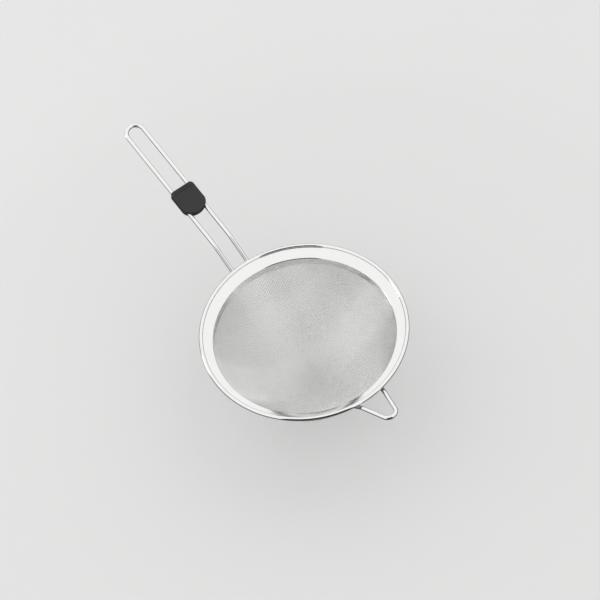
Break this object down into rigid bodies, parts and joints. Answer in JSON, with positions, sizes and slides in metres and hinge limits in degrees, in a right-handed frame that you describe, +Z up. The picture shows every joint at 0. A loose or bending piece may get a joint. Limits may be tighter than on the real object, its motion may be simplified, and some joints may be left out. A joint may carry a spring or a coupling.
{
  "type": "kitchen strainer",
  "caption": "Deep-bowled wire-mesh strainer with a sloping sheet rim, a two-wire loop handle that carries a sliding moulded clip, and a wire rest hook opposite the handle.",
  "frame": {"origin": "centre of the collar round the bowl's mouth, halfway up its straight inner wall", "axes": "+Z up out of the mouth along the bowl's axis, +X towards the handle, +Y across the handle"},
  "size_m": [0.407, 0.2, 0.1636],
  "materials": {
    "polished_sheet": "polished stainless sheet",
    "woven_wire": "bright drawn stainless wire cloth",
    "ring_steel": "satin stainless strip",
    "polished_wire": "polished stainless wire",
    "weld_metal": "dressed weld",
    "black_plastic": "fine satin moulding"
  },
  "bodies": {
    "strainer": {"rim_band": "polished_sheet", "mesh_bowl": "woven_wire", "clamp_ring": "ring_steel", "handle_wire": "polished_wire", "handle_welds": "weld_metal", "hook_wire": "polished_wire", "hook_welds": "weld_metal"},
    "clip": {"clip_front": "black_plastic", "clip_back": "black_plastic"}
  },
  "joints": [
    {"name": "clip_slide", "type": "slide", "parent": "strainer", "child": "clip", "axis": [0.9505, 0, 0.3107], "range_m": [-0.03, 0.072]}
  ]
}
